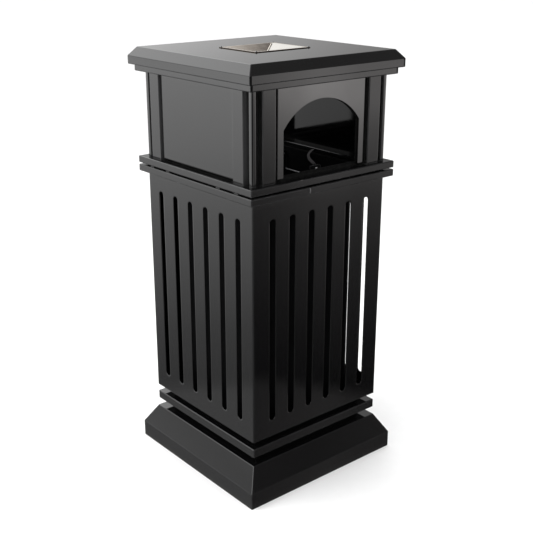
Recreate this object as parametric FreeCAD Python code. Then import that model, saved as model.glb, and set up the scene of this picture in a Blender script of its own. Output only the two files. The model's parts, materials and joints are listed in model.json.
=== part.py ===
import FreeCAD, Part
import math
import os

# Square street litter bin with an ashtray on its roof, in millimetres.
# +Z is up, -Y is the front, +X is the right side, and the origin is the middle of the
# footprint on the ground. The hood hinges along the back edge, over a fixed pedestal that
# holds a lift-out liner. "Half" sizes are half of a square's width.

Vector = FreeCAD.Vector
UP = Vector(0, 0, 1)

# ---- Driving dimensions ----
SHEET = 1.5                 # folded casing sheet
PANEL = 2.0                 # heavier sheet of the slotted body and the plinth
EDGE_RADIUS = 2.2           # bend radius outside the folded edges
POST_RADIUS = 5.0           # corner radius of the hood's corner tubes

# levels, from the ground up
PLINTH_BAND_TOP = 40.0
PLINTH_TOP = 89.0
STEP_BOTTOM = 109.0
STEP_TOP = 131.0
BODY_BOTTOM = 149.0
RIM_BOTTOM = 712.0
RIM_TOP = 728.0
HOOD_BOTTOM = 732.0
HOOD_SILL = 748.0
CORNICE_BOTTOM = 946.0
ROOF_BOTTOM = 961.0
ROOF_BAND_TOP = 980.0
ROOF_TOP = 1000.0

# half widths
PLINTH_HALF = 225.0
PLINTH_TOP_HALF = 196.0
NECK_HALF = 166.0
STEP_HALF = 195.0
BODY_HALF = 195.5
RIM_HALF = 212.0
RIM_MOUTH_HALF = 165.0
WALL_HALF = 183.5
PLATE_FACE = 194.2
PILASTER_FACE = 199.6
CORNICE_HALF = 212.3
ROOF_HALF = 223.0
ROOF_TOP_HALF = 206.5

# ground anchors
ANCHOR_HALF = 140.0
ANCHOR_HOLE_RADIUS = 6.5
SPANNER_HOLE_RADIUS = 14.0
BASE_THICKNESS = 4.0

# body slots
SLOT_WIDTH = 18.0
SLOT_BOTTOM = 190.0
SLOT_TOP = 670.0
SLOTS_EACH_SIDE = 6
FRONT_SLOT_PITCH = 56.0
SIDE_SLOT_PITCH = 58.4

# hood faces
ARCH_PLATE_HALF_WIDTH = 127.0
SIDE_PLATE_HALF_WIDTH = 131.5
PLATE_BOTTOM = 752.0
PILASTER_IN = 135.0
PILASTER_OUT = 171.0
ARCH_HALF_WIDTH = 110.4
ARCH_SILL = 757.0           # the inner wall keeps a strip below its opening
ARCH_SPRING = 855.0
ARCH_TOP = 912.0

# ash tray
TRAY_HALF = (80.0, 66.0)
PIT_HALF = (71.0, 58.5)
PIT_DEPTH = 19.0
PIT_FLOOR_HALF = (9.0, 7.0)
ROOF_HOLE_HALF = (76.0, 62.0)
STUD_AT = (75.5, 62.3)

# back hinges
HINGE_Y = 217.5
HINGE_Z = 730.0
HINGE_X = 120.0
KNUCKLE_RADIUS = 5.0
HINGE_PIN_RADIUS = 3.0
HINGE_PLAY = 0.05
HINGE_LENGTH = 64.0
HOOD_KNUCKLE = 24.0
LEAF = 2.0
LEAF_REACH = 17.0
RIVET_SPACING = 42.0

# latch, hung on the front of the hood frame
LATCH_X = 12.0
LATCH_Z = 751.0
LATCH_SCREW_RADIUS = 2.5
LATCH_PLAY = 0.06
LATCH_BACK = 162.5          # the hook's plane lies between these two depths
LATCH_FRONT = 160.0
KEEPER_X = 33.1
KEEPER_Z = 722.5

# liner
LINER_HALF = 150.0
LINER_CORNER = 24.0
LINER_SHEET = 1.0
LINER_BOTTOM = 151.5
LINER_TOP = 740.0
BEAD_RADIUS = 3.0
HANDLE_WIRE = 2.6
HANDLE_HALF = 92.0
HANDLE_Z = 722.0
HANDLE_DROP = 38.0
HANDLE_X = 142.0


# ---- Shape helpers ----
def block(x, y, z):
    """A box from its (low, high) pairs."""
    return Part.makeBox(x[1] - x[0], y[1] - y[0], z[1] - z[0], Vector(x[0], y[0], z[0]))


def slab(half, low, high):
    """A square block centred on the Z axis."""
    return block((-half, half), (-half, half), (low, high))


def square_ring(outer, inner, low, high):
    """A square frame centred on the Z axis."""
    return slab(outer, low, high).cut(slab(inner, low - 1, high + 1))


def rod(radius, start, end):
    """A round bar from one point to another."""
    start = Vector(*start)
    run = Vector(*end) - start
    return Part.makeCylinder(radius, run.Length, start, run)


def frustum(low_half, low, high_half, high):
    """A four-sided frustum; each half is a number, or an (x, y) pair."""
    rings = []
    for half, z in ((low_half, low), (high_half, high)):
        hx, hy = half if isinstance(half, tuple) else (half, half)
        rings.append([Vector(-hx, -hy, z), Vector(hx, -hy, z), Vector(hx, hy, z), Vector(-hx, hy, z)])
    bottom, top = rings
    faces = [Part.Face(Part.makePolygon(ring + ring[:1])) for ring in rings]
    for i in range(4):
        j = (i + 1) % 4
        faces.append(Part.Face(Part.makePolygon([bottom[i], bottom[j], top[j], top[i], bottom[i]])))
    return Part.Solid(Part.Shell(faces))


def square_stack(profile):
    """A square solid whose half width follows a list of (half, height) points."""
    layers = [
        frustum(low[0], low[1], high[0], high[1]) for low, high in zip(profile, profile[1:])
    ]
    return layers[0].multiFuse(layers[1:]).removeSplitter()


def soften(solid, radius, wanted):
    """Rounds the edges whose middle passes the test."""
    edges = [e for e in solid.Edges if wanted(e.CenterOfMass)]
    return solid.makeFillet(radius, edges)


def upright_edges(solid, radius):
    """Rounds every vertical edge."""
    edges = [e for e in solid.Edges if abs(e.tangentAt(e.FirstParameter).z) > 0.99]
    return solid.makeFillet(radius, edges)


def turned(shape, quarters):
    """A copy turned about the Z axis by quarter turns."""
    copy = shape.copy()
    copy.rotate(Vector(0, 0, 0), UP, 90 * quarters)
    return copy


def mirrored_x(shape):
    """The same shape on the other side of the YZ plane."""
    return shape.mirror(Vector(0, 0, 0), Vector(1, 0, 0))


def corners(x, y):
    """The four points (+-x, +-y)."""
    return [(sx * x, sy * y) for sx in (-1, 1) for sy in (-1, 1)]


def drill(shape, radius, places, low, high):
    """Cuts vertical holes."""
    holes = [rod(radius, (x, y, low), (x, y, high)) for x, y in places]
    return shape.cut(holes[0].multiFuse(holes[1:]))


def front_quarter(shape):
    """Keeps the part of a square ring that faces the front, mitred along the diagonals."""
    reach = 2 * PLINTH_HALF
    box = shape.BoundBox
    outline = [Vector(0, 0, 0), Vector(-reach, -reach, 0), Vector(reach, -reach, 0), Vector(0, 0, 0)]
    prism = Part.Face(Part.makePolygon(outline)).extrude(UP * (box.ZLength + 2))
    prism.translate(Vector(0, 0, box.ZMin - 1))
    return shape.common(prism)


# ---- Plinth and necks ----
def base_plate():
    plate = slab(PLINTH_HALF - PANEL - 0.2, 0, BASE_THICKNESS)
    return drill(plate, ANCHOR_HOLE_RADIUS, corners(ANCHOR_HALF, ANCHOR_HALF), -1, BASE_THICKNESS + 1)


def plinth_shell():
    slope = (PLINTH_HALF - PLINTH_TOP_HALF) / (PLINTH_TOP - PLINTH_BAND_TOP)
    inset = PANEL * math.hypot(1, slope)
    inner_half = PLINTH_HALF - PANEL
    inner_bend = PLINTH_BAND_TOP + (PANEL - inset) / slope
    inner_top = PLINTH_TOP - PANEL
    outer = square_stack(
        [(PLINTH_HALF, 0), (PLINTH_HALF, PLINTH_BAND_TOP), (PLINTH_TOP_HALF, PLINTH_TOP)]
    )
    outer = soften(outer, EDGE_RADIUS, lambda point: point.z > 1)
    inner = square_stack([
        (inner_half, -1),
        (inner_half, inner_bend),
        (inner_half - slope * (inner_top - inner_bend), inner_top),
    ])
    shell = outer.cut(inner)
    return drill(shell, SPANNER_HOLE_RADIUS, corners(ANCHOR_HALF, ANCHOR_HALF), inner_top - 1, PLINTH_TOP + 1)


def neck(low, high):
    return square_ring(NECK_HALF, NECK_HALF - PANEL, low, high)


def step_box():
    """The closed square step between the two necks, open below inside the neck."""
    outer = soften(slab(STEP_HALF, STEP_BOTTOM, STEP_TOP), EDGE_RADIUS, lambda point: True)
    hollow = slab(STEP_HALF - PANEL, STEP_BOTTOM + PANEL, STEP_TOP - PANEL)
    mouth = slab(NECK_HALF - PANEL, STEP_BOTTOM - 1, STEP_BOTTOM + PANEL + 1)
    step = outer.cut(hollow).cut(mouth)
    return drill(step, SPANNER_HOLE_RADIUS, corners(ANCHOR_HALF, ANCHOR_HALF), STEP_TOP - 5, STEP_TOP + 1)


# ---- Body ----
FLOOR_LIP = 16.0
ANGLE_LEG = 20.0


def body_floor():
    half = BODY_HALF - PANEL
    tray = slab(half, BODY_BOTTOM, BODY_BOTTOM + FLOOR_LIP)
    tray = tray.cut(slab(half - SHEET, BODY_BOTTOM + PANEL, BODY_BOTTOM + FLOOR_LIP + 1))
    return drill(
        tray, SPANNER_HOLE_RADIUS, corners(ANCHOR_HALF, ANCHOR_HALF), BODY_BOTTOM - 1, BODY_BOTTOM + 5
    )


def body_panel(pitch):
    """The front sheet of the body, with its row of round-ended slots."""
    top = RIM_TOP - SHEET
    tube = upright_edges(slab(BODY_HALF, BODY_BOTTOM, top), PANEL)
    sheet = front_quarter(tube.cut(slab(BODY_HALF - PANEL, BODY_BOTTOM - 1, top + 1)))
    radius = SLOT_WIDTH / 2
    depth = (-BODY_HALF - 1, -BODY_HALF + PANEL + 1)
    for i in range(SLOTS_EACH_SIDE):
        x = (i - (SLOTS_EACH_SIDE - 1) / 2) * pitch
        slot = block((x - radius, x + radius), depth, (SLOT_BOTTOM + radius, SLOT_TOP - radius))
        for z in (SLOT_BOTTOM + radius, SLOT_TOP - radius):
            slot = slot.fuse(rod(radius, (x, depth[0], z), (x, depth[1], z)))
        sheet = sheet.cut(slot)
    return sheet


def corner_angle():
    """The folded angle inside the front left corner that ties two panels together."""
    edge = -(BODY_HALF - PANEL)
    low = BODY_BOTTOM + FLOOR_LIP
    high = RIM_BOTTOM - 4
    angle = block((edge, edge + ANGLE_LEG), (edge, edge + ANGLE_LEG), (low, high))
    return angle.cut(
        block((edge + SHEET, 0), (edge + SHEET, 0), (low - 1, high + 1))
    )


def flange_ring(low, high, lip_half):
    """A folded square channel: top sheet, outer and inner walls and a lip under its outer part."""
    outer = soften(slab(RIM_HALF, low, high), EDGE_RADIUS, lambda point: True)
    ring = outer.cut(slab(RIM_MOUTH_HALF, low - 1, high + 1))
    ring = soften(
        ring, EDGE_RADIUS,
        lambda point: max(abs(point.x), abs(point.y)) < RIM_MOUTH_HALF + 0.1 and point.z > high - 0.1,
    )
    hollow = square_ring(RIM_HALF - SHEET, RIM_MOUTH_HALF + SHEET, low + SHEET, high - SHEET)
    mouth = square_ring(lip_half, RIM_MOUTH_HALF + SHEET, low - 1, low + SHEET + 1)
    return ring.cut(hollow).cut(mouth)


BUMPER_SIZE = (7.0, 13.0)
BUMPER_Y = (95.0, 158.0)
BUMPER_GAP = 0.3


def rim_bumpers():
    """Rubber pads on the rim that the closed hood rests on."""
    outside = RIM_HALF - 2.5
    pads = []
    for side in (-1, 1):
        xs = sorted((side * outside, side * (outside - BUMPER_SIZE[0])))
        for y in (-BUMPER_Y[1], -BUMPER_Y[0], BUMPER_Y[0], BUMPER_Y[1]):
            ys = (y - BUMPER_SIZE[1] / 2, y + BUMPER_SIZE[1] / 2)
            pads.append(block(xs, ys, (RIM_TOP, HOOD_BOTTOM - BUMPER_GAP)))
    return Part.makeCompound(pads)


# ---- Back hinges ----
def knuckle(x, length, bore):
    barrel = rod(KNUCKLE_RADIUS, (x, HINGE_Y, HINGE_Z), (x + length, HINGE_Y, HINGE_Z))
    hole = rod(bore, (x - 1, HINGE_Y, HINGE_Z), (x + length + 1, HINGE_Y, HINGE_Z))
    return barrel, hole


def hinge_leaf(upper):
    """One right-hand hinge leaf; the upper one has the middle knuckle, the lower one the outer two."""
    start = HINGE_X - HINGE_LENGTH / 2
    end = start + HINGE_LENGTH
    side = (HINGE_LENGTH - HOOD_KNUCKLE) / 2
    clear = KNUCKLE_RADIUS + 0.6
    sign = 1 if upper else -1
    depth = (RIM_HALF, RIM_HALF + LEAF)
    if upper:
        spans = [(start + side + 0.4, HOOD_KNUCKLE - 0.8)]
        bore = HINGE_PIN_RADIUS + HINGE_PLAY
    else:
        spans = [(start, side), (end - side, side)]
        bore = HINGE_PIN_RADIUS
    leaf = block((start, end), depth, sorted((HINGE_Z + sign * clear, HINGE_Z + sign * LEAF_REACH)))
    holes = []
    for x, length in spans:
        barrel, hole = knuckle(x, length, bore)
        web = block((x, x + length), depth, sorted((HINGE_Z, HINGE_Z + sign * clear)))
        leaf = leaf.fuse(web).fuse(barrel)
        holes.append(hole)
    for hole in holes:
        leaf = leaf.cut(hole)
    return leaf.removeSplitter()


def hinge_pin():
    """The right-hand hinge pin, with a button head at each end."""
    start = HINGE_X - HINGE_LENGTH / 2
    end = start + HINGE_LENGTH
    pin = rod(HINGE_PIN_RADIUS, (start, HINGE_Y, HINGE_Z), (end, HINGE_Y, HINGE_Z))
    for x in (start - 1.5, end):
        pin = pin.fuse(rod(KNUCKLE_RADIUS - 0.8, (x, HINGE_Y, HINGE_Z), (x + 1.5, HINGE_Y, HINGE_Z)))
    return pin.removeSplitter()


def hinge_rivets(upper):
    """Domed rivet heads on both leaves of one level."""
    z = HINGE_Z + (11.8 if upper else -11.8)
    face = RIM_HALF + LEAF
    rivets = []
    for x0 in (-HINGE_X, HINGE_X):
        for x in (x0 - RIVET_SPACING / 2, x0, x0 + RIVET_SPACING / 2):
            dome = Part.makeSphere(3.4, Vector(x, face - 1.6, z))
            rivets.append(dome.common(block((x - 4, x + 4), (face, face + 4), (z - 4, z + 4))))
    return Part.makeCompound(rivets)


# ---- Hood ----
HOOD_LIP_HALF = 200.0


def arch_opening(low):
    """The arched mouth of the front face, as a solid standing on the given level."""
    y = -ROOF_HALF
    left, right = -ARCH_HALF_WIDTH, ARCH_HALF_WIDTH
    arc = Part.Arc(Vector(left, y, ARCH_SPRING), Vector(0, y, ARCH_TOP), Vector(right, y, ARCH_SPRING))
    edges = [
        Part.makeLine(Vector(left, y, low), Vector(left, y, ARCH_SPRING)),
        arc.toShape(),
        Part.makeLine(Vector(right, y, ARCH_SPRING), Vector(right, y, low)),
        Part.makeLine(Vector(right, y, low), Vector(left, y, low)),
    ]
    return Part.Face(Part.Wire(edges)).extrude(Vector(0, ROOF_HALF - NECK_HALF, 0))


def hood_wall(arched):
    """The inner sheet of one hood face, between two corner posts."""
    inner = WALL_HALF - SHEET
    wall = block((-inner, inner), (-WALL_HALF, -inner), (HOOD_SILL, ROOF_BOTTOM))
    return wall.cut(arch_opening(ARCH_SILL)) if arched else wall


def face_plate(arched):
    """The raised plate of one hood face, folded as a shallow tray towards the wall."""
    half = ARCH_PLATE_HALF_WIDTH if arched else SIDE_PLATE_HALF_WIDTH
    y = (-PLATE_FACE, -WALL_HALF)
    z = (PLATE_BOTTOM, CORNICE_BOTTOM)
    plate = block((-half, half), y, z)
    plate = soften(plate, EDGE_RADIUS, lambda point: point.y < y[0] + 0.1 and point.z < z[1] - 1)
    hollow = block(
        (-half + SHEET, half - SHEET), (y[0] + SHEET, y[1] + 1), (z[0] + SHEET, z[1] - SHEET)
    )
    plate = plate.cut(hollow)
    return plate.cut(arch_opening(HOOD_SILL)) if arched else plate


def pilaster():
    """The front left U-shaped pilaster."""
    y = (-PILASTER_FACE, -WALL_HALF)
    x = (-PILASTER_OUT, -PILASTER_IN)
    bar = block(x, y, (HOOD_SILL, CORNICE_BOTTOM))
    bar = soften(
        bar, EDGE_RADIUS,
        lambda point: point.y < y[0] + 0.1 and HOOD_SILL + 1 < point.z < CORNICE_BOTTOM - 1,
    )
    return bar.cut(
        block((x[0] + SHEET, x[1] - SHEET), (y[0] + SHEET, y[1] + 1), (HOOD_SILL - 1, CORNICE_BOTTOM + 1))
    )


def corner_post():
    """The front left square corner tube."""
    low, high = -BODY_HALF, -(WALL_HALF - SHEET)
    post = upright_edges(block((low, high), (low, high), (HOOD_SILL, CORNICE_BOTTOM)), POST_RADIUS)
    inside = (low + SHEET, high - SHEET)
    bore = upright_edges(
        block(inside, inside, (HOOD_SILL - 1, CORNICE_BOTTOM + 1)), POST_RADIUS - SHEET
    )
    return post.cut(bore)


def cornice():
    """The folded square moulding under the roof, open above."""
    outer = slab(CORNICE_HALF, CORNICE_BOTTOM, ROOF_BOTTOM)
    outer = soften(outer, EDGE_RADIUS, lambda point: point.z < ROOF_BOTTOM - 1)
    ring = outer.cut(slab(WALL_HALF, CORNICE_BOTTOM - 1, ROOF_BOTTOM + 1))
    return ring.cut(
        square_ring(CORNICE_HALF - SHEET, WALL_HALF, CORNICE_BOTTOM + SHEET, ROOF_BOTTOM + 1)
    )


def roof_cap():
    """The hollow roof: a band, a bevel and a flat top with the ash tray's hole."""
    slope = (ROOF_HALF - ROOF_TOP_HALF) / (ROOF_TOP - ROOF_BAND_TOP)
    inset = SHEET * math.hypot(1, slope)
    bend = ROOF_BAND_TOP + (SHEET - inset) / slope
    inner_half = ROOF_HALF - SHEET
    inner_top = ROOF_TOP - SHEET
    outer = square_stack([
        (ROOF_HALF, ROOF_BOTTOM), (ROOF_HALF, ROOF_BAND_TOP), (ROOF_TOP_HALF, ROOF_TOP)
    ])
    outer = soften(outer, EDGE_RADIUS, lambda point: True)
    inner = square_stack([
        (inner_half, ROOF_BOTTOM + SHEET),
        (inner_half, bend),
        (inner_half - slope * (inner_top - bend), inner_top),
    ])
    mouth = slab(WALL_HALF - 2 * SHEET, ROOF_BOTTOM - 1, ROOF_BOTTOM + SHEET + 1)
    hx, hy = ROOF_HOLE_HALF
    hole = block((-hx, hx), (-hy, hy), (inner_top - 1, ROOF_TOP + 1))
    return outer.cut(inner).cut(mouth).cut(hole)


# ---- Ash tray ----
TRAY_SHEET = 1.2
TRAY_SEAT = 0.3             # gap under the tray's rim
STUD_RADIUS = 2.4
STUD_HOLE_RADIUS = 2.8
STUD_PROUD = 2.0            # the dome stands this far above the tray's rim


def ash_tray():
    """A stainless dish: a flat rim with four corner holes and a shallow four-sided pit."""
    low = ROOF_TOP + TRAY_SEAT
    high = low + TRAY_SHEET
    hx, hy = TRAY_HALF
    rim = upright_edges(block((-hx, hx), (-hy, hy), (low, high)), 3.0)
    under = frustum(
        (PIT_FLOOR_HALF[0] + TRAY_SHEET, PIT_FLOOR_HALF[1] + TRAY_SHEET), low - PIT_DEPTH,
        (PIT_HALF[0] + TRAY_SHEET, PIT_HALF[1] + TRAY_SHEET), high - 0.4,
    )
    pit = frustum(PIT_FLOOR_HALF, high - PIT_DEPTH, PIT_HALF, high)
    tray = rim.fuse(under).cut(pit)
    return drill(tray, STUD_HOLE_RADIUS, corners(*STUD_AT), low - 1, high + 1)


def ash_tray_studs():
    """Domed studs on the roof that locate the tray's corners."""
    top = ROOF_TOP + TRAY_SEAT + TRAY_SHEET
    studs = []
    for x, y in corners(*STUD_AT):
        crown = top + STUD_PROUD - STUD_RADIUS
        stud = rod(STUD_RADIUS, (x, y, ROOF_TOP), (x, y, crown))
        dome = Part.makeSphere(STUD_RADIUS, Vector(x, y, crown), Vector(0, 0, 1), 0, 90, 360)
        studs.append(stud.fuse(dome))
    return Part.makeCompound(studs)


# ---- Latch ----
SCREW_HEAD_RADIUS = 4.6
EYE_RADIUS = 6.0
HOOK_SPINE = [(-1.4, 3.4), (-11.0, 16.5), (-20.6, 26.0), (-22.8, 34.0), (-16.6, 40.8), (-6.0, 43.6)]
HOOK_WIDTHS = [7.6, 6.8, 7.2, 7.4, 5.4, 1.4]


def latch_bracket():
    """The upstand that carries the hook's pivot screw, with a peg that the idle hook leans on."""
    back = (-RIM_MOUTH_HALF, -LATCH_BACK - 0.5)
    plate = block((LATCH_X - 20, LATCH_X + 12), back, (HOOD_BOTTOM + 4, LATCH_Z + 9))
    plate = soften(plate, 4.0, lambda point: point.z > LATCH_Z + 8 and abs(point.x - LATCH_X) > 11)
    peg = (LATCH_X - 15.4, LATCH_Z + 6.0)
    return plate.fuse(rod(2.0, (peg[0], back[0], peg[1]), (peg[0], -LATCH_FRONT, peg[1])))


def latch_screw():
    """The pivot screw: threaded shank, shoulder and cross-recessed pan head."""
    shank = rod(LATCH_SCREW_RADIUS, (LATCH_X, -LATCH_BACK - 0.5, LATCH_Z), (LATCH_X, -LATCH_FRONT + 0.3, LATCH_Z))
    head = rod(
        SCREW_HEAD_RADIUS, (LATCH_X, -LATCH_FRONT + 0.3, LATCH_Z), (LATCH_X, -LATCH_FRONT + 2.8, LATCH_Z)
    )
    head = soften(head, 1.2, lambda point: point.y > -LATCH_FRONT + 2.7)
    y = (-LATCH_FRONT + 1.6, -LATCH_FRONT + 4)
    for half in ((2.8, 0.5), (0.5, 2.8)):
        head = head.cut(
            block((LATCH_X - half[0], LATCH_X + half[0]), y, (LATCH_Z - half[1], LATCH_Z + half[1]))
        )
    return shank.fuse(head).removeSplitter()


def latch_hook():
    """A flat steel hook that tapers to its tip, on an eye round the pivot screw."""
    spine = [Vector(LATCH_X + x, -LATCH_BACK, LATCH_Z + z) for x, z in HOOK_SPINE]
    outlines = []
    for side in (-1, 1):
        points = []
        for i, point in enumerate(spine):
            along = spine[min(i + 1, len(spine) - 1)] - spine[max(i - 1, 0)]
            across = Vector(-along.z, 0, along.x).normalize()
            points.append(point + across * (side * HOOK_WIDTHS[i] / 2))
        curve = Part.BSplineCurve()
        curve.interpolate(points)
        outlines.append((points, curve.toShape()))
    (left, left_edge), (right, right_edge) = outlines
    outline = Part.Wire(Part.__sortEdges__([
        left_edge,
        Part.makeLine(left[-1], right[-1]),
        right_edge,
        Part.makeLine(right[0], left[0]),
    ]))
    thickness = LATCH_BACK - LATCH_FRONT
    blade = Part.Face(outline).extrude(Vector(0, thickness, 0))
    eye = rod(EYE_RADIUS, (LATCH_X, -LATCH_BACK, LATCH_Z), (LATCH_X, -LATCH_FRONT, LATCH_Z))
    bore = rod(
        LATCH_SCREW_RADIUS + LATCH_PLAY,
        (LATCH_X, -LATCH_BACK - 1, LATCH_Z), (LATCH_X, -LATCH_FRONT + 1, LATCH_Z),
    )
    return blade.fuse(eye).removeSplitter().cut(bore)


def latch_keeper():
    """The plate and peg inside the body rim that the closed hook catches."""
    plate = block(
        (KEEPER_X - 9, KEEPER_X + 9), (-RIM_MOUTH_HALF, -RIM_MOUTH_HALF + SHEET), (RIM_BOTTOM + 1, RIM_TOP - 1)
    )
    peg = rod(2.5, (KEEPER_X, -RIM_MOUTH_HALF, KEEPER_Z), (KEEPER_X, -LATCH_FRONT + 2, KEEPER_Z))
    return plate.fuse(peg)


# ---- Liner ----
def rounded_block(half, radius, low, high):
    return upright_edges(slab(half, low, high), radius)


def liner_shell():
    """The four sides of the liner, wrapped from one sheet round its corners."""
    outer = rounded_block(LINER_HALF, LINER_CORNER, LINER_BOTTOM, LINER_TOP - BEAD_RADIUS + 1)
    inner = rounded_block(
        LINER_HALF - LINER_SHEET, LINER_CORNER - LINER_SHEET, LINER_BOTTOM - 1, LINER_TOP
    )
    return outer.cut(inner)


def liner_bottom():
    """The liner's floor, set a little above its lower edge, with a folded-down skirt."""
    half = LINER_HALF - LINER_SHEET
    radius = LINER_CORNER - LINER_SHEET
    outer = rounded_block(half, radius, LINER_BOTTOM, LINER_BOTTOM + 8)
    inner = rounded_block(half - LINER_SHEET, radius - LINER_SHEET, LINER_BOTTOM - 1, LINER_BOTTOM + 7)
    return outer.cut(inner)


def liner_rim():
    """The rolled bead round the liner's mouth."""
    half = LINER_HALF + BEAD_RADIUS
    z = LINER_TOP - BEAD_RADIUS
    corner = LINER_CORNER + half - LINER_HALF
    path = rounded_block(half, corner, z, z + 1)
    face = [f for f in path.Faces if f.normalAt(0, 0).z < -0.9][0]
    spine = face.OuterWire
    start = spine.OrderedVertexes[0].Point
    along = spine.OrderedEdges[0].tangentAt(spine.OrderedEdges[0].FirstParameter)
    ring = Part.Wire(Part.makeCircle(BEAD_RADIUS, start, along))
    return spine.makePipeShell([ring], True, True)


def handle(side):
    """A wire bail that hangs against the inside of the liner; side is -1 left, 1 right."""
    x = side * HANDLE_X
    low = HANDLE_Z - HANDLE_DROP
    bend = 12.0
    inner = bend * (1 - math.sqrt(0.5))
    pts = {}
    for sign in (-1, 1):
        pts[sign] = (
            Vector(x, sign * HANDLE_HALF, HANDLE_Z),
            Vector(x, sign * HANDLE_HALF, low + bend),
            Vector(x, sign * (HANDLE_HALF - inner), low + inner),
            Vector(x, sign * (HANDLE_HALF - bend), low),
        )
    a, b = pts[-1], pts[1]
    path = Part.Wire([
        Part.makeLine(a[0], a[1]),
        Part.Arc(a[1], a[2], a[3]).toShape(),
        Part.makeLine(a[3], b[3]),
        Part.Arc(b[3], b[2], b[1]).toShape(),
        Part.makeLine(b[1], b[0]),
    ])
    section = Part.Wire(Part.makeCircle(HANDLE_WIRE, a[0], Vector(0, 0, -1)))
    bail = path.makePipeShell([section], True, True)
    for sign in (-1, 1):
        y = sign * HANDLE_HALF
        bail = bail.fuse(Part.makeSphere(HANDLE_WIRE, Vector(x, y, HANDLE_Z)))
        bail = bail.fuse(rod(HANDLE_WIRE - 0.6, (x, y, HANDLE_Z), (x, y + sign * 9, HANDLE_Z)))
    return bail


def liner_ears():
    """Four riveted ears inside the liner that the wire handles turn in."""
    wall = LINER_HALF - LINER_SHEET
    ears = []
    for side in (-1, 1):
        for sign in (-1, 1):
            y = sorted((sign * (HANDLE_HALF + 3.2), sign * (HANDLE_HALF + 6.2)))
            x = sorted((side * wall, side * (HANDLE_X - 4.5)))
            ear = block(x, y, (HANDLE_Z - 6, HANDLE_Z + 6))
            foot = block(
                sorted((side * wall, side * (wall - SHEET))),
                sorted((sign * (HANDLE_HALF + 3.2), sign * (HANDLE_HALF + 20))),
                (HANDLE_Z - 6, HANDLE_Z + 6),
            )
            bore = rod(
                HANDLE_WIRE - 0.6 + 0.06,
                (side * HANDLE_X, y[0] - 1, HANDLE_Z), (side * HANDLE_X, y[1] + 1, HANDLE_Z),
            )
            ears.append(ear.fuse(foot).cut(bore))
    return Part.makeCompound(ears)


# ---- Assembly ----
SIDES = ("front", "right", "back", "left")


def collect():
    parts = {
        "base_plate": base_plate(),
        "plinth_shell": plinth_shell(),
        "plinth_neck": neck(PLINTH_TOP, STEP_BOTTOM),
        "step_box": step_box(),
        "body_neck": neck(STEP_TOP, BODY_BOTTOM),
        "body_floor": body_floor(),
        "body_rim": flange_ring(RIM_BOTTOM, RIM_TOP, BODY_HALF),
        "rim_bumpers": rim_bumpers(),
        "latch_keeper": latch_keeper(),
        "hood_frame": flange_ring(HOOD_BOTTOM, HOOD_SILL, HOOD_LIP_HALF),
        "cornice": cornice(),
        "roof_cap": roof_cap(),
        "ash_tray": ash_tray(),
        "ash_tray_studs": ash_tray_studs(),
        "latch_bracket": latch_bracket(),
        "latch_screw": latch_screw(),
        "latch_hook": latch_hook(),
        "liner_shell": liner_shell(),
        "liner_bottom": liner_bottom(),
        "liner_rim": liner_rim(),
        "liner_ears": liner_ears(),
        "liner_handle_left": handle(-1),
        "liner_handle_right": handle(1),
        "hinge_rivets_body": hinge_rivets(False),
        "hinge_rivets_hood": hinge_rivets(True),
    }
    for level, upper in (("body", False), ("hood", True)):
        leaf = hinge_leaf(upper)
        parts["hinge_leaf_" + level + "_right"] = leaf
        parts["hinge_leaf_" + level + "_left"] = mirrored_x(leaf)
    pin = hinge_pin()
    parts["hinge_pin_right"] = pin
    parts["hinge_pin_left"] = mirrored_x(pin)
    for quarter, side in enumerate(SIDES):
        arched = side in ("front", "back")
        pitch = FRONT_SLOT_PITCH if arched else SIDE_SLOT_PITCH
        parts["body_panel_" + side] = turned(body_panel(pitch), quarter)
        parts["hood_wall_" + side] = turned(hood_wall(arched), quarter)
        plate_name = "arch_plate_" if arched else "side_plate_"
        parts[plate_name + side] = turned(face_plate(arched), quarter)
        parts["pilaster_" + side + "_a"] = turned(pilaster(), quarter)
        parts["pilaster_" + side + "_b"] = turned(mirrored_x(pilaster()), quarter)
    corner_names = ("front_left", "front_right", "back_right", "back_left")
    for quarter, name in enumerate(corner_names):
        parts["corner_post_" + name] = turned(corner_post(), quarter)
        parts["corner_angle_" + name] = turned(corner_angle(), quarter)
    return parts


os.makedirs("parts", exist_ok=True)
total = 0
for part_name, shape in sorted(collect().items()):
    shape.exportStep("parts/" + part_name + ".step")
    total += 1
    print(part_name, len(shape.Solids), shape.isValid(), round(shape.Volume))
print(total, "nodes")
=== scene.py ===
import json
import math

import bpy
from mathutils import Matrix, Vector


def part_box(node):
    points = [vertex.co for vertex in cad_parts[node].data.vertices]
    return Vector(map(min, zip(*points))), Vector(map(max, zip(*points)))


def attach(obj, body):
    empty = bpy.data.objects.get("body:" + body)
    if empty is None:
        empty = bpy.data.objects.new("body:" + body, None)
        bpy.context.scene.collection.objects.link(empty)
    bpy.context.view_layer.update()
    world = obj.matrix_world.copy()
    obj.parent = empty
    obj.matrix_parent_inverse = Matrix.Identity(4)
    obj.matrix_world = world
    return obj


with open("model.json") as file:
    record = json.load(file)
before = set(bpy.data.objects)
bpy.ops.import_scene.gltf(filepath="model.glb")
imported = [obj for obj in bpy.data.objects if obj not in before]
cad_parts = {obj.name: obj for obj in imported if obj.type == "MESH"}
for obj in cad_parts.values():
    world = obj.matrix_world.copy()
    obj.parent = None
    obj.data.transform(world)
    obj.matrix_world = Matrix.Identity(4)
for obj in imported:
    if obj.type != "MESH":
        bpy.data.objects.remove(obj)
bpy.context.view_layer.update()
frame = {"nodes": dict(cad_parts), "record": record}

# ---- Camera ----
CAMERA_AT = Vector((-1.345, -1.623, 1.231))
CAMERA_TOWARDS = Vector((0.6023, 0.7240, -0.3363))
CAMERA_LENS = 62.07
SENSOR = 36.0
CAMERA_REACH = 50.0


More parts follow.
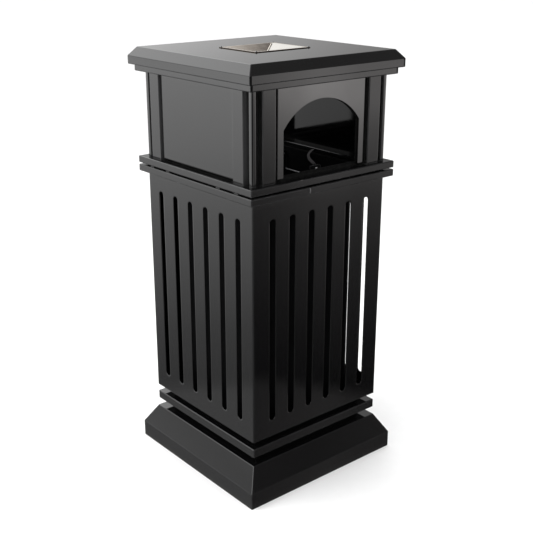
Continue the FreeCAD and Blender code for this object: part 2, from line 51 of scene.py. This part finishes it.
def add_camera():
    data = bpy.data.cameras.new("camera")
    data.lens = CAMERA_LENS
    data.sensor_width = SENSOR
    data.clip_end = CAMERA_REACH
    camera = bpy.data.objects.new("camera", data)
    camera.location = CAMERA_AT
    camera.rotation_euler = CAMERA_TOWARDS.to_track_quat("-Z", "Y").to_euler()
    bpy.context.scene.collection.objects.link(camera)
    bpy.context.scene.camera = camera


# ---- Shader nodes ----
def connect(tree, value, socket):
    """Gives a socket a constant, or what another node puts out."""
    if isinstance(value, bpy.types.NodeSocket):
        tree.links.new(value, socket)
    else:
        socket.default_value = value


def arithmetic(tree, operation, *values):
    node = tree.nodes.new("ShaderNodeMath")
    node.operation = operation
    for value, socket in zip(values, node.inputs):
        connect(tree, value, socket)
    return node.outputs["Value"]


def times(tree, first, second):
    return arithmetic(tree, "MULTIPLY", first, second)


def vector_math(tree, operation, *values, output="Vector"):
    node = tree.nodes.new("ShaderNodeVectorMath")
    node.operation = operation
    for value, socket in zip(values, node.inputs):
        connect(tree, value, socket)
    return node.outputs[output]


def along(tree, direction, axis):
    """How far a direction runs along an axis."""
    return vector_math(tree, "DOT_PRODUCT", direction, axis, output="Value")


def mix_colours(tree, factor, low, high):
    """Mixes two colours, each a constant or what another node puts out."""
    node = tree.nodes.new("ShaderNodeMix")
    node.data_type = "RGBA"
    tree.links.new(factor, node.inputs["Factor"])
    for colour, socket in ((low, node.inputs["A"]), (high, node.inputs["B"])):
        connect(tree, (*colour, 1) if isinstance(colour, tuple) else colour, socket)
    return node.outputs["Result"]


def noise(tree, coordinates, scale, detail=2.0):
    node = tree.nodes.new("ShaderNodeTexNoise")
    node.inputs["Scale"].default_value = scale
    node.inputs["Detail"].default_value = detail
    tree.links.new(coordinates, node.inputs["Vector"])
    return node.outputs["Fac"]


def remap(tree, value, low, high, from_low=0.3, from_high=0.7):
    """Runs from low to high while the value runs from from_low to from_high, and stays within them."""
    node = tree.nodes.new("ShaderNodeMapRange")
    node.inputs["From Min"].default_value = from_low
    node.inputs["From Max"].default_value = from_high
    node.inputs["To Min"].default_value = low
    node.inputs["To Max"].default_value = high
    tree.links.new(value, node.inputs["Value"])
    return node.outputs["Result"]


# ---- Studio ----
FLOOR_SIZE = 40.0
FLOOR_COLOURS = ((0.90, 0.90, 0.90), (0.93, 0.93, 0.93))
WHITE_STRENGTH = 1.12       # everything but gloss sees even white
GLOSS_STRENGTH = 6.0        # the brightest part of the surroundings, as gloss shows them
SIDE_TILT = 0.144           # how far the floor's edge runs down towards the right
TILT_CENTRE = 0.6           # directions this far to the right keep their height
UP = (0, 0, 1)
RIGHTWARDS = (0.70, -0.71, 0)   # from the left surroundings to the right ones
# brightness of the surroundings by height of the direction, from straight down to straight up
LEFT_SURROUNDINGS = (
    (-1.0, 0.066), (-0.545, 0.064), (-0.460, 0.076), (-0.450, 0.050), (-0.40, 0.070), (-0.284, 0.168),
    (-0.205, 0.270), (-0.134, 0.35), (-0.05, 0.35), (0.0, 0.09), (0.07, 0.08), (0.095, 0.175), (0.20, 0.125),
    (0.45, 0.46), (0.66, 0.56), (1.0, 0.12),
)
RIGHT_SURROUNDINGS = (
    (-1.0, 0.045), (-0.457, 0.040), (-0.450, 0.004), (-0.40, 0.014), (-0.31, 0.044), (-0.258, 0.084),
    (-0.205, 0.17), (-0.17, 0.26), (-0.146, 0.38), (-0.10, 0.38), (-0.075, 0.08), (0.04, 0.06), (0.09, 0.045),
    (0.30, 0.036), (0.70, 0.047), (1.0, 0.10),
)
RIGHT_TINT = (1.0, 0.965, 0.955)
DARK_CORNER = (-0.63, -0.76, -0.12)   # the direction of the studio's one dark corner
RIGHT_LEVEL_ALONG = (0.7688, 0.6395, 0)     # the right side's level changes this way
LEFT_LEVEL_ALONG = (-0.7688, -0.6395, 0)    # the left side's level changes this way
FRONT_SOFTBOX = (0.05, -0.949, -0.31)   # the direction of a soft light straight in front
# each change: from one value to another, between two places along its own direction
SIDES_MEET = (0, 1, -0.3, 0.14)
CORNER_LEVEL = (1.0, 0.12, 0.74, 0.89)
LEFT_LEVEL = (0.95, 1.22, -0.12, -0.01)
RIGHT_LEVEL = (0.60, 1.0, -0.02, 0.075)
FAR_RIGHT_LEVEL = (1.0, 0.72, 0.055, 0.10)
FRONT_LEVEL = (0, 0.13, 0.945, 0.995)
LAMPS = (
    # name, place, what it points at, width and length, power
    ("key_left", (-2.6, 1.2, 2.6), (0, 0, 0.4), (2.4, 2.4), 60),
    ("top", (0, 0.3, 3.2), (0, 0, 0), (2.5, 2.5), 40),
)


def area_light(name, at, towards, size, power):
    data = bpy.data.lights.new(name, "AREA")
    data.shape = "RECTANGLE"
    data.size, data.size_y = size
    data.energy = power
    light = bpy.data.objects.new(name, data)
    light.location = at
    light.rotation_euler = (Vector(towards) - Vector(at)).to_track_quat("-Z", "Y").to_euler()
    light.visible_camera = False
    light.visible_glossy = False
    bpy.context.scene.collection.objects.link(light)


def brightness_ramp(tree, height, stops, tint=(1, 1, 1)):
    """A colour ramp that follows (height, brightness) stops from -1 to 1."""
    node = tree.nodes.new("ShaderNodeValToRGB")
    elements = node.color_ramp.elements
    while len(elements) < len(stops):
        elements.new(0.5)
    for element, (place, level) in zip(elements, stops):
        element.position = (place + 1) / 2
        element.color = (*(level * channel for channel in tint), 1)
    tree.links.new(height, node.inputs["Fac"])
    return node.outputs["Color"]


def add_world():
    """Even white, except that gloss reflects surroundings with a left and a right side."""
    world = bpy.data.worlds.new("studio")
    bpy.context.scene.world = world
    world.use_nodes = True
    tree = world.node_tree
    links = tree.links
    direction = tree.nodes.new("ShaderNodeTexCoord").outputs["Generated"]
    left_height = remap(tree, along(tree, direction, UP), 0, 1, from_low=-1, from_high=1)
    tilted = along(tree, direction, (SIDE_TILT, 0, 1))
    shift = TILT_CENTRE * SIDE_TILT
    right_height = remap(tree, tilted, 0, 1, shift - 1, shift + 1)
    left = brightness_ramp(tree, left_height, LEFT_SURROUNDINGS)
    right = brightness_ramp(tree, right_height, RIGHT_SURROUNDINGS, RIGHT_TINT)
    side = remap(tree, along(tree, direction, RIGHTWARDS), *SIDES_MEET)
    both = mix_colours(tree, side, left, right)
    near_corner = remap(tree, along(tree, direction, DARK_CORNER), *CORNER_LEVEL)
    right_place = along(tree, direction, RIGHT_LEVEL_ALONG)
    far_right = remap(tree, right_place, *FAR_RIGHT_LEVEL)
    right_level = times(tree, remap(tree, right_place, *RIGHT_LEVEL), far_right)
    side_level = tree.nodes.new("ShaderNodeMix")
    links.new(side, side_level.inputs["Factor"])
    links.new(remap(tree, along(tree, direction, LEFT_LEVEL_ALONG), *LEFT_LEVEL), side_level.inputs["A"])
    links.new(right_level, side_level.inputs["B"])
    shaded = tree.nodes.new("ShaderNodeVectorMath")
    shaded.operation = "SCALE"
    links.new(both, shaded.inputs[0])
    links.new(times(tree, near_corner, side_level.outputs["Result"]), shaded.inputs["Scale"])
    front = remap(tree, along(tree, direction, FRONT_SOFTBOX), *FRONT_LEVEL)
    lit = vector_math(tree, "ADD", shaded.outputs["Vector"], front)
    glossy = tree.nodes.new("ShaderNodeBackground")
    glossy.inputs["Strength"].default_value = GLOSS_STRENGTH
    links.new(lit, glossy.inputs["Color"])
    white = tree.nodes["Background"]
    white.inputs["Color"].default_value = (1, 1, 1, 1)
    white.inputs["Strength"].default_value = WHITE_STRENGTH
    choose = tree.nodes.new("ShaderNodeMixShader")
    rays = tree.nodes.new("ShaderNodeLightPath")
    links.new(rays.outputs["Is Glossy Ray"], choose.inputs["Fac"])
    links.new(white.outputs["Background"], choose.inputs[1])
    links.new(glossy.outputs["Background"], choose.inputs[2])
    links.new(choose.outputs["Shader"], tree.nodes["World Output"].inputs["Surface"])


def add_studio():
    add_world()
    for lamp in LAMPS:
        area_light(*lamp)
    half = FLOOR_SIZE / 2
    mesh = bpy.data.meshes.new("floor")
    mesh.from_pydata(
        [(-half, -half, 0), (half, -half, 0), (half, half, 0), (-half, half, 0)], [], [(0, 1, 2, 3)]
    )
    floor = bpy.data.objects.new("floor", mesh)
    bpy.context.scene.collection.objects.link(floor)
    mesh.materials.append(floor_material())
    floor.visible_glossy = False


# ---- Materials ----
PAINT_COLOURS = ((0.0018, 0.0018, 0.0020), (0.0034, 0.0034, 0.0036))
PAINT_DUST = (0.016, 0.016, 0.0155)
# lighter paint along edges: wear, and also a painted highlight on each edge
PAINT_WEAR_AND_HIGHLIGHT = (0.075, 0.075, 0.078)
PAINT_BARE = (0.55, 0.54, 0.52)
PAINTED_FLANK_LIGHT = (0.040, 0.040, 0.041)     # painted light on the side pilasters' front and back faces
PAINT_EDGE = 0.0032         # how far in from an edge the wear and the painted edge highlight reach
DUST_REACH = 0.016          # dust gathers where another face is nearer than this
SLOT_ROUNDING = 0.0030      # how far the coating rounds a slot's edge
LINER_COLOURS = ((0.002, 0.002, 0.0022), (0.007, 0.007, 0.0077))
# painted dark reflection: colour of the black strips beside the roof's and the cornice's upright corners
DARK_REFLECTION_COLOURS = ((0.0012, 0.0012, 0.0013), (0.003, 0.003, 0.0032))
METAL_VARIATION = (0.8, 1.25)    # the smoothest and the roughest of a metal's grain
RUBBER_COLOURS = ((0.012, 0.012, 0.012), (0.03, 0.03, 0.03))
ASH_COLOURS = ((0.66, 0.59, 0.51), (0.75, 0.68, 0.60))
# painted shade on the tray's walls that face against x
ASH_WALL_SHADE = (0.35, 0.335, 0.31)
# painted shade: the dark brown of the blotches by the crease and on the rim
ASH_SHADE_BROWN = (0.13, 0.10, 0.075)
# painted shade on the tray's rim
ASH_RIM_SHADE = (0.17, 0.14, 0.11)
RIM_SHADE_BEGINS = 0.0035         # the rim's painted shade begins this far in from the tray's edge
RIM_SHADE_FULL = 0.0020           # and has its full tone from here outwards
ASH_BRUSHING = (1, 40, 40)  # stretches the grain of the ash tray's steel
AGAINST_AXIS = (1, 0, -0.28, -0.12)     # 1 on walls of the pit that face against an axis, 0 on the rest
FLANGE_CHIPS = (
    # centre and reach of each chip on the hood's flange
    ((-0.0735, -0.2112, 0.7476), (0.0036, 0.0016, 0.0010)),
    ((0.1510, 0.2112, 0.7474), (0.0022, 0.0014, 0.0012)),
    ((0.2112, -0.0620, 0.7470), (0.0012, 0.0030, 0.0010)),
)
GLOSS = (0.025, 0.06)       # the smoothest and the roughest of the usual coat
PAINTS = (
    # name, specular level, smoothest and roughest, what sets it apart
    ("black_paint", 0.5, GLOSS, {}),
    ("flange_paint", 0.5, GLOSS, {"chips": FLANGE_CHIPS}),
    ("panel_paint", 0.5, (0.015, 0.04), {"wear_and_highlight": False, "rounding": SLOT_ROUNDING}),
    # painted light and shade: inner_paint and pilaster_paint are shaded copies of the one coat, with lower
    # specular levels, and plate_paint and post_paint are lit copies, with higher ones
    ("inner_paint", 0.15, (0.05, 0.09), {"wear_and_highlight": False}),
    ("plate_paint", 0.98, (0.06, 0.11), {"wear_and_highlight": False}),
    ("pilaster_paint", 0.46, (0.04, 0.08), {}),
    # side_pilaster_paint: painted light on its front and back faces
    ("side_pilaster_paint", 0.5, GLOSS, {"painted_light_on_flanks": True}),
    ("post_paint", 0.64, GLOSS, {}),
)
METALS = (
    # name, darkest and lightest of its grain, roughness
    ("seam_paint", (0.14, 0.14, 0.145), (0.36, 0.36, 0.37), 0.35),
    ("ash_seam", (0.50, 0.45, 0.38), (0.70, 0.66, 0.60), 0.22),
    ("bright_fastener", (0.12, 0.12, 0.124), (0.24, 0.24, 0.245), 0.3),
    ("rivet_steel", (0.55, 0.55, 0.56), (0.75, 0.75, 0.76), 0.25),
    ("handle_wire", (0.06, 0.06, 0.063), (0.12, 0.12, 0.125), 0.3),
    ("dark_hook", (0.025, 0.025, 0.026), (0.06, 0.06, 0.062), 0.28),
)


def new_material(name):
    material = bpy.data.materials.new(name)
    material.use_nodes = True
    tree = material.node_tree
    return material, tree, tree.nodes["Principled BSDF"]


def bump(tree, height, shader, strength, distance, rounding=0):
    """Fine relief. With a rounding, edges are shaded as if rounded by that radius."""
    node = tree.nodes.new("ShaderNodeBump")
    if rounding:
        rounded = tree.nodes.new("ShaderNodeBevel")
        rounded.samples = 8
        rounded.inputs["Radius"].default_value = rounding
        tree.links.new(rounded.outputs["Normal"], node.inputs["Normal"])
    node.inputs["Strength"].default_value = strength
    node.inputs["Distance"].default_value = distance
    tree.links.new(height, node.inputs["Height"])
    tree.links.new(node.outputs["Normal"], shader.inputs["Normal"])


def object_coordinates(tree):
    return tree.nodes.new("ShaderNodeTexCoord").outputs["Object"]


def floor_material():
    material, tree, shader = new_material("floor_paper")
    place = object_coordinates(tree)
    colour = mix_colours(tree, noise(tree, place, scale=40), *FLOOR_COLOURS)
    tree.links.new(colour, shader.inputs["Base Color"])
    shader.inputs["Roughness"].default_value = 0.9
    return material


def edge_mask(tree, radius):
    """1 along the outer edges of a shape, 0 on its flats."""
    rounded = tree.nodes.new("ShaderNodeBevel")
    rounded.samples = 4
    rounded.inputs["Radius"].default_value = radius
    flat = tree.nodes.new("ShaderNodeNewGeometry")
    alike = along(tree, rounded.outputs["Normal"], flat.outputs["Normal"])
    return remap(tree, alike, 1, 0, from_low=0.80, from_high=0.985)


def groove_mask(tree, reach):
    """1 deep in grooves and corners, where dust stays, 0 on open faces."""
    node = tree.nodes.new("ShaderNodeAmbientOcclusion")
    node.samples = 4
    node.inputs["Distance"].default_value = reach
    return remap(tree, node.outputs["AO"], 1, 0, from_low=0.45, from_high=0.92)


def chip_mask(tree, place, spots):
    """1 where a chip has bared the sheet: (centre, reach) spots with ragged edges."""
    total = 0.0
    ragged = remap(tree, noise(tree, place, scale=900), -0.35, 0.35)
    for centre, reach in spots:
        away = vector_math(tree, "DIVIDE", vector_math(tree, "SUBTRACT", place, centre), reach)
        distance = vector_math(tree, "LENGTH", away, output="Value")
        spot = remap(tree, arithmetic(tree, "ADD", distance, ragged), 1, 0, from_low=0.85, from_high=1.0)
        total = arithmetic(tree, "MAXIMUM", total, spot)
    return total


def painted_flank_light_mask(tree):
    """1 on faces that look to the front or the back, where side pilasters get painted light."""
    facing = tree.nodes.new("ShaderNodeSeparateXYZ")
    coordinates = tree.nodes.new("ShaderNodeTexCoord")
    tree.links.new(coordinates.outputs["Normal"], facing.inputs["Vector"])
    return remap(tree, arithmetic(tree, "ABSOLUTE", facing.outputs["Y"]), 0, 1, from_low=0.6, from_high=0.9)


def black_paint(name, specular, smooth, wear_and_highlight=True, chips=(), rounding=0, painted_light_on_flanks=False):
    """Gloss black powder coat: orange peel, faint dust, and thinner, lighter paint along edges, which is wear
    and also a painted edge highlight; side pilasters can also get painted light on their front and back
    faces.
    """
    material, tree, shader = new_material(name)
    place = object_coordinates(tree)
    colour = mix_colours(tree, noise(tree, place, scale=9, detail=4), *PAINT_COLOURS)
    speckle = remap(tree, noise(tree, place, scale=60, detail=6), 0.5, 1)
    dust = times(tree, groove_mask(tree, DUST_REACH), speckle)
    colour = mix_colours(tree, dust, colour, PAINT_DUST)
    # wear and painted highlight: lighter paint along the edges
    if wear_and_highlight:
        patches = remap(tree, noise(tree, place, scale=25, detail=5), 0.25, 1, from_low=0.35, from_high=0.62)
        edges = times(tree, edge_mask(tree, PAINT_EDGE), patches)
        colour = mix_colours(tree, edges, colour, PAINT_WEAR_AND_HIGHLIGHT)
    # painted light: lighter front and back faces
    if painted_light_on_flanks:
        colour = mix_colours(tree, painted_flank_light_mask(tree), colour, PAINTED_FLANK_LIGHT)
    if chips:
        bare = chip_mask(tree, place, chips)
        colour = mix_colours(tree, bare, colour, PAINT_BARE)
        tree.links.new(bare, shader.inputs["Metallic"])
    tree.links.new(colour, shader.inputs["Base Color"])
    gloss = remap(tree, noise(tree, place, scale=14, detail=5), *smooth)
    tree.links.new(gloss, shader.inputs["Roughness"])
    shader.inputs["Specular IOR Level"].default_value = specular
    orange_peel = noise(tree, place, scale=420, detail=1)
    bump(tree, orange_peel, shader, strength=0.03, distance=0.0003, rounding=rounding)
    return material


def brushed_metal(name, low, high, roughness):
    """Metal with a fine grain in its colour, its roughness and its relief."""
    material, tree, shader = new_material(name)
    grain = noise(tree, object_coordinates(tree), scale=20, detail=3)
    tree.links.new(mix_colours(tree, grain, low, high), shader.inputs["Base Color"])
    shader.inputs["Metallic"].default_value = 1.0
    smoothest, roughest = (roughness * factor for factor in METAL_VARIATION)
    tree.links.new(remap(tree, grain, smoothest, roughest), shader.inputs["Roughness"])
    bump(tree, grain, shader, strength=0.1, distance=0.0003)
    return material


def dark_liner():
    """The liner's dark steel: hardly any gloss, and a coarse skin."""
    material, tree, shader = new_material("liner_steel")
    place = object_coordinates(tree)
    colour = mix_colours(tree, noise(tree, place, scale=30, detail=4), *LINER_COLOURS)
    tree.links.new(colour, shader.inputs["Base Color"])
    roughness = remap(tree, noise(tree, place, scale=18, detail=3), 0.4, 0.6)
    tree.links.new(roughness, shader.inputs["Roughness"])
    shader.inputs["Specular IOR Level"].default_value = 0.04
    bump(tree, noise(tree, place, scale=160), shader, strength=0.1, distance=0.001)
    return material


def painted_dark_reflection():
    """A black strip with a dull skin: the painted dark reflection beside a rounded corner."""
    material, tree, shader = new_material("painted_dark_reflection")
    place = object_coordinates(tree)
    colour = mix_colours(tree, noise(tree, place, scale=120), *DARK_REFLECTION_COLOURS)
    tree.links.new(colour, shader.inputs["Base Color"])
    shader.inputs["Roughness"].default_value = 0.45
    shader.inputs["Specular IOR Level"].default_value = 0.08
    bump(tree, noise(tree, place, scale=300), shader, strength=0.1, distance=0.0003)
    return material


def rubber():
    """Matt rubber with a fine grain."""
    material, tree, shader = new_material("rubber")
    place = object_coordinates(tree)
    colour = mix_colours(tree, noise(tree, place, scale=90), *RUBBER_COLOURS)
    tree.links.new(colour, shader.inputs["Base Color"])
    shader.inputs["Roughness"].default_value = 0.75
    bump(tree, noise(tree, place, scale=600), shader, strength=0.3, distance=0.0005)
    return material


def ash_steel():
    """Brushed stainless steel, with painted shade: a darker rim, darker walls that face against x, and darker
    blotches towards one crease on the walls that face against y.
    """
    material, tree, shader = new_material("ash_steel")
    texture = tree.nodes.new("ShaderNodeTexCoord")
    place = texture.outputs["Object"]
    stretch = tree.nodes.new("ShaderNodeMapping")
    stretch.inputs["Scale"].default_value = ASH_BRUSHING
    tree.links.new(place, stretch.inputs["Vector"])
    grain = noise(tree, stretch.outputs["Vector"], scale=20, detail=3)
    colour = mix_colours(tree, grain, *ASH_COLOURS)
    where = tree.nodes.new("ShaderNodeSeparateXYZ")
    tree.links.new(place, where.inputs["Vector"])
    facing = tree.nodes.new("ShaderNodeSeparateXYZ")
    tree.links.new(texture.outputs["Normal"], facing.inputs["Vector"])
    # painted shade: the walls that face against x are darker
    wall_shade = remap(tree, facing.outputs["X"], *AGAINST_AXIS)
    colour = mix_colours(tree, wall_shade, colour, ASH_WALL_SHADE)
    # painted shade: darker brown blotches towards one crease, on the walls that face against y
    towards_crease = remap(tree, where.outputs["X"], 0.15, 1, from_low=-0.045, from_high=0.055)
    shaded_wall = remap(tree, facing.outputs["Y"], *AGAINST_AXIS)
    blotches = remap(tree, noise(tree, place, scale=45, detail=5), 0.6, 1, from_low=0.3, from_high=0.65)
    crease_shade = times(tree, times(tree, towards_crease, shaded_wall), blotches)
    colour = mix_colours(tree, crease_shade, colour, ASH_SHADE_BROWN)
    # painted shade: a darker rim, with darker blotches
    rim_shade_colour = mix_colours(tree, blotches, ASH_RIM_SHADE, ASH_SHADE_BROWN)
    colour = mix_colours(tree, rim_mask(tree, where), colour, rim_shade_colour)
    tree.links.new(colour, shader.inputs["Base Color"])
    shader.inputs["Metallic"].default_value = 1.0
    tree.links.new(remap(tree, grain, 0.20, 0.28), shader.inputs["Roughness"])
    bump(tree, grain, shader, strength=0.04, distance=0.0002)
    return material


def rim_mask(tree, where):
    """1 on the tray's outer edge and flat rim, where its painted shade goes, 0 in its pit."""
    parts = []
    low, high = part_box("ash_tray")
    for axis in range(2):
        reach = arithmetic(tree, "ABSOLUTE", where.outputs[axis])
        edge = (high[axis] - low[axis]) / 2
        parts.append(remap(tree, reach, 0, 1, edge - RIM_SHADE_BEGINS, edge - RIM_SHADE_FULL))
    return arithmetic(tree, "MAXIMUM", *parts)


def paint_for(name):
    """Which of the paint's variants a painted node gets; several are lit and shaded copies of one coat."""
    if name.startswith("hood_wall"):
        return "inner_paint"
    if name.startswith("arch_plate"):
        return "plate_paint"
    if name.startswith(("pilaster_front", "pilaster_back")):
        return "pilaster_paint"
    if name.startswith(("pilaster_left", "pilaster_right")):
        return "side_pilaster_paint"
    if name.startswith("corner_post"):
        return "post_paint"
    if name.startswith("body_panel"):
        return "panel_paint"
    if name == "hood_frame":
        return "flange_paint"
    return "black_paint"


def make_finishes():
    made = {}
    for name, specular, smooth, extras in PAINTS:
        made[name] = black_paint(name, specular, smooth, **extras)
    for name, low, high, roughness in METALS:
        made[name] = brushed_metal(name, low, high, roughness)
    made["ash_steel"] = ash_steel()
    made["liner_steel"] = dark_liner()
    made["rubber"] = rubber()
    made["painted_dark_reflection"] = painted_dark_reflection()
    return made


def finish_nodes(made):
    slots = {entry["node"]: entry["material_slot"] for entry in frame["record"]["subparts"]}
    for name, node in frame["nodes"].items():
        finish = paint_for(name) if slots[name] == "black_paint" else slots[name]
        if name == "latch_hook":
            finish = "dark_hook"
        node.data.materials.clear()
        node.data.materials.append(made[finish])


# ---- Added detail ----
BEAD_SIDES = 12
BEAD_TAPER = 12             # a bead's ends taper over one part in this many of its length
BEAD_TIP = 0.02             # the square of its ends' thickness, as a part of the full thickness
FEWEST_STEPS = 8
STEPS_PER_RIPPLE = 4
TURNED_SIDES = 24

# pit of the ash tray: half sizes at its top and floor, and its depth
PIT_TOP = (0.0710, 0.0585)
PIT_FLOOR = (0.0090, 0.0070)
PIT_DEPTH = 0.0190
TRAY_SEAM_RADIUS = 0.0021
TRAY_SEAM_INSET = (0.0020, 0.0017)      # the welds stop short of the pit's upper corners
TRAY_SEAM_STOP = 0.0010     # and of the corners of its floor
TRAY_SEAM_SINK = 0.0010     # the middle of their upper ends lies this far under the pit's top
TRAY_SEAM_BURY = 0.0001     # and the middle of their lower ends this far under its floor

# peened end of the latch's pivot: (radius, height) from its foot to its crown
RIVET_OUTLINE = ((0.0040, -0.0004), (0.0040, 0.0006), (0.0036, 0.0015), (0.0024, 0.0022), (0.0008, 0.0025))

RING_SEAMS = (
    # node, body, place along the side, which side: -1 front, 1 back
    ("body_rim", "pedestal", -0.0483, -1),
    ("hood_frame", "hood", 0.0610, 1),
)
RING_SEAM_RADIUS = 0.0014
RING_SEAM_FLATTEN = (1, 0.35, 1)
RING_SEAM_MARGIN = 0.0018   # the welds stop this far short of a ring's upper and lower edges

# painted dark reflection: a thin black strip beside each upright corner of the folded roof and moulding,
# where the rounded fold shows a dark reflection
ROOF_BAND = 0.0190          # height of the roof's upright band, above the cornice
DARK_REFLECTION_WIDTH = 0.0048
DARK_REFLECTION_PROUD = 0.0003
DARK_REFLECTION_FROM_CORNER = 0.0012
ROOF_REFLECTION_MARGIN = 0.0004
CORNICE_REFLECTION_MARGIN = 0.0012


def add_piece(name, vertices, faces, body, material):
    """A smooth-shaded mesh that rides on a body and takes a material slot's finish."""
    mesh = bpy.data.meshes.new(name)
    mesh.from_pydata(vertices, [], faces)
    mesh.polygons.foreach_set("use_smooth", [True] * len(mesh.polygons))
    mesh.update()
    piece = bpy.data.objects.new(name, mesh)
    bpy.context.scene.collection.objects.link(piece)
    mesh.materials.append(material)
    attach(piece, body)


def rings_mesh(rings):
    """Vertices and faces of a closed tube through equal rings of points."""
    sides = len(rings[0])
    vertices = [point for ring in rings for point in ring]
    faces = []
    for i in range(len(rings) - 1):
        for j in range(sides):
            k = (j + 1) % sides
            a, b = i * sides, (i + 1) * sides
            faces.append((a + j, a + k, b + k, b + j))
    faces.append(tuple(reversed(range(sides))))
    last = (len(rings) - 1) * sides
    faces.append(tuple(range(last, last + sides)))
    return vertices, faces


def round_section(side, up, points):
    """Directions evenly round a circle, from side towards up."""
    turns = (j * 2 * math.pi / points for j in range(points))
    return [side * math.cos(turn) + up * math.sin(turn) for turn in turns]


def bead(start, end, radius, flatten=(1, 1, 1), ripple=0.0, pitch=0.002):
    """A run of weld, or a black strip for a painted dark reflection: a round bar with tapering ends, rippled
    along its length.
    """
    start, end = Vector(start), Vector(end)
    run = end - start
    forward = run.normalized()
    side = forward.orthogonal().normalized()
    section = round_section(side, forward.cross(side), BEAD_SIDES)
    steps = max(FEWEST_STEPS, int(run.length / pitch * STEPS_PER_RIPPLE))
    rings = []
    for i in range(steps + 1):
        t = i / steps
        taper = math.sqrt(max(BEAD_TIP, min(1.0, t * BEAD_TAPER, (1 - t) * BEAD_TAPER)))
        size = radius * taper * (1 + ripple * math.sin(t * run.length / pitch * 2 * math.pi))
        ring = []
        for way in section:
            offset = way * size
            ring.append(start + run * t + Vector(c * f for c, f in zip(offset, flatten)))
        rings.append(ring)
    return rings_mesh(rings)


def turned(centre, axis, outline):
    """A turned shape: (radius, height) points spun about an axis through the centre."""
    centre, axis = Vector(centre), Vector(axis).normalized()
    side = axis.orthogonal().normalized()
    section = round_section(side, axis.cross(side), TURNED_SIDES)
    return rings_mesh([
        [centre + axis * height + way * radius for way in section]
        for radius, height in outline
    ])


def add_tray_seams(made):
    """A fine weld down each of the four creases of the ash tray's pit."""
    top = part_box("ash_tray")[1][2]
    for x, y in ((1, 1), (-1, 1), (-1, -1), (1, -1)):
        start = (
            x * (PIT_TOP[0] - TRAY_SEAM_INSET[0]),
            y * (PIT_TOP[1] - TRAY_SEAM_INSET[1]),
            top - TRAY_SEAM_SINK,
        )
        end = (
            x * (PIT_FLOOR[0] + TRAY_SEAM_STOP),
            y * (PIT_FLOOR[1] + TRAY_SEAM_STOP),
            top - PIT_DEPTH - TRAY_SEAM_BURY,
        )
        vertices, faces = bead(start, end, TRAY_SEAM_RADIUS, ripple=0.05, pitch=0.0022)
        add_piece(f"ash_seam_{x + 1}{y + 1}", vertices, faces, "ash_tray", made["ash_seam"])


def add_latch_rivet(made):
    """The peened end of the latch's pivot, on the front of its bracket."""
    bracket_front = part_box("latch_bracket")[0][1]
    screw_low, screw_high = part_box("latch_screw")
    centre = ((screw_low[0] + screw_high[0]) / 2, bracket_front, (screw_low[2] + screw_high[2]) / 2)
    vertices, faces = turned(centre, (0, -1, 0), RIVET_OUTLINE)
    add_piece("latch_rivet", vertices, faces, "hood", made["rivet_steel"])


def add_ring_seams(made):
    """The dressed weld that closes each folded ring."""
    for node, body, x, side in RING_SEAMS:
        low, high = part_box(node)
        y = high[1] * side
        start = (x, y, low[2] + RING_SEAM_MARGIN)
        end = (x, y, high[2] - RING_SEAM_MARGIN)
        vertices, faces = bead(start, end, RING_SEAM_RADIUS, RING_SEAM_FLATTEN, ripple=0.18, pitch=0.0017)
        add_piece("seam_" + node, vertices, faces, body, made["seam_paint"])


def add_painted_dark_reflections(made):
    """A thin black strip beside each upright corner of the roof's band and of the cornice: a painted dark
    reflection.
    """
    roof_low, roof_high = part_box("roof_cap")
    cornice_low, cornice_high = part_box("cornice")
    runs = (
        ("roof", roof_high[0], roof_low[2] + ROOF_REFLECTION_MARGIN, cornice_high[2] + ROOF_BAND),
        ("cornice", cornice_high[0], cornice_low[2] + CORNICE_REFLECTION_MARGIN, cornice_high[2]),
    )
    half = DARK_REFLECTION_WIDTH / 2
    flatten = (1, DARK_REFLECTION_PROUD / half, 1)
    for name, reach, low, high in runs:
        for x in (-1, 1):
            for y in (-1, 1):
                place = (x * (reach - DARK_REFLECTION_FROM_CORNER - half), y * reach)
                vertices, faces = bead((*place, low), (*place, high), half, flatten)
                title = f"seal_{name}_{x + 1}{y + 1}"
                add_piece(title, vertices, faces, "hood", made["painted_dark_reflection"])


def add_details(made):
    add_tray_seams(made)
    add_painted_dark_reflections(made)
    add_latch_rivet(made)
    add_ring_seams(made)


bpy.context.scene.view_settings.view_transform = "Standard"
add_camera()
add_studio()
finishes = make_finishes()
finish_nodes(finishes)
add_details(finishes)
